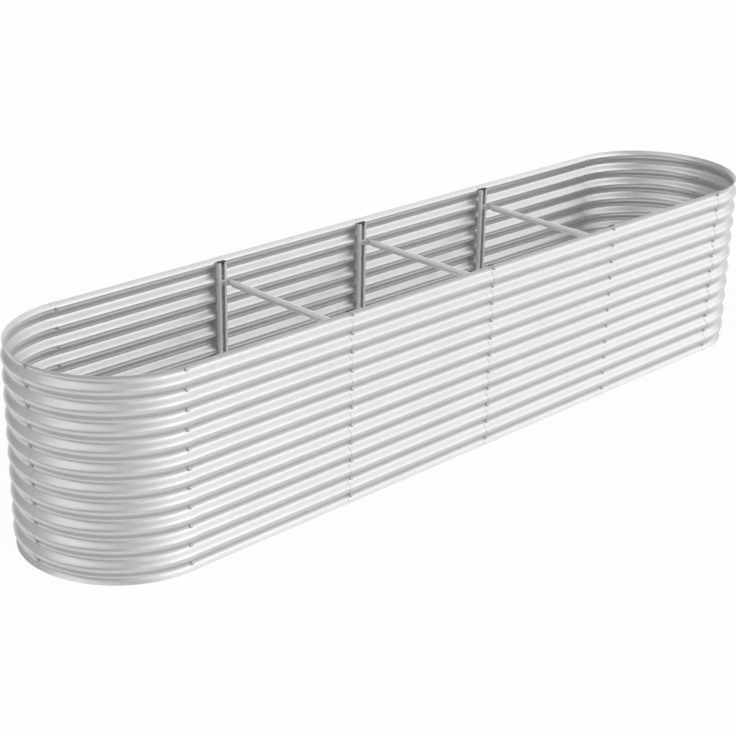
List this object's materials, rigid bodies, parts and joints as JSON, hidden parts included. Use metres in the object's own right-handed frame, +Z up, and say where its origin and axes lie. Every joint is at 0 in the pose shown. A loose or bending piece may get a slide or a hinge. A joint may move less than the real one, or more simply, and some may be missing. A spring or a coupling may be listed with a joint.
{
  "type": "raised garden bed",
  "caption": "Long oval raised garden bed of bolted corrugated galvanised sheets, open above and below, with plugged channel posts inside, joined across the bed by tube braces.",
  "frame": {"origin": "on the ground, under the middle of the bed", "axes": "+X along the bed, +Y across it to the far long side, +Z up"},
  "size_m": [3.029, 0.629, 0.61],
  "materials": {
    "galvanised_sheet": "satin hot-dip galvanised corrugated sheet",
    "galvanised_post": "satin galvanised roll-formed channel",
    "galvanised_tube": "satin galvanised round tube",
    "plated_steel": "bright zinc-plated fasteners",
    "black_plastic": "matt black moulded plastic"
  },
  "bodies": {
    "root": {"corner_panel_front_left": "galvanised_sheet", "corner_panel_front_right": "galvanised_sheet", "corner_panel_back_right": "galvanised_sheet", "corner_panel_back_left": "galvanised_sheet", "side_panel_front_1": "galvanised_sheet", "side_panel_front_2": "galvanised_sheet", "side_panel_front_3": "galvanised_sheet", "side_panel_front_4": "galvanised_sheet", "side_panel_back_1": "galvanised_sheet", "side_panel_back_2": "galvanised_sheet", "side_panel_back_3": "galvanised_sheet", "side_panel_back_4": "galvanised_sheet", "post_front_1": "galvanised_post", "post_front_2": "galvanised_post", "post_front_3": "galvanised_post", "post_back_1": "galvanised_post", "post_back_2": "galvanised_post", "post_back_3": "galvanised_post", "post_plug_front_1": "black_plastic", "post_plug_front_2": "black_plastic", "post_plug_front_3": "black_plastic", "post_plug_back_1": "black_plastic", "post_plug_back_2": "black_plastic", "post_plug_back_3": "black_plastic", "cross_brace_1": "galvanised_tube", "cross_brace_2": "galvanised_tube", "cross_brace_3": "galvanised_tube", "brace_bolt_front_1": "plated_steel", "brace_bolt_front_2": "plated_steel", "brace_bolt_front_3": "plated_steel", "brace_bolt_back_1": "plated_steel", "brace_bolt_back_2": "plated_steel", "brace_bolt_back_3": "plated_steel", "brace_nut_front_1": "plated_steel", "brace_nut_front_2": "plated_steel", "brace_nut_front_3": "plated_steel", "brace_nut_back_1": "plated_steel", "brace_nut_back_2": "plated_steel", "brace_nut_back_3": "plated_steel"}
  },
  "joints": []
}
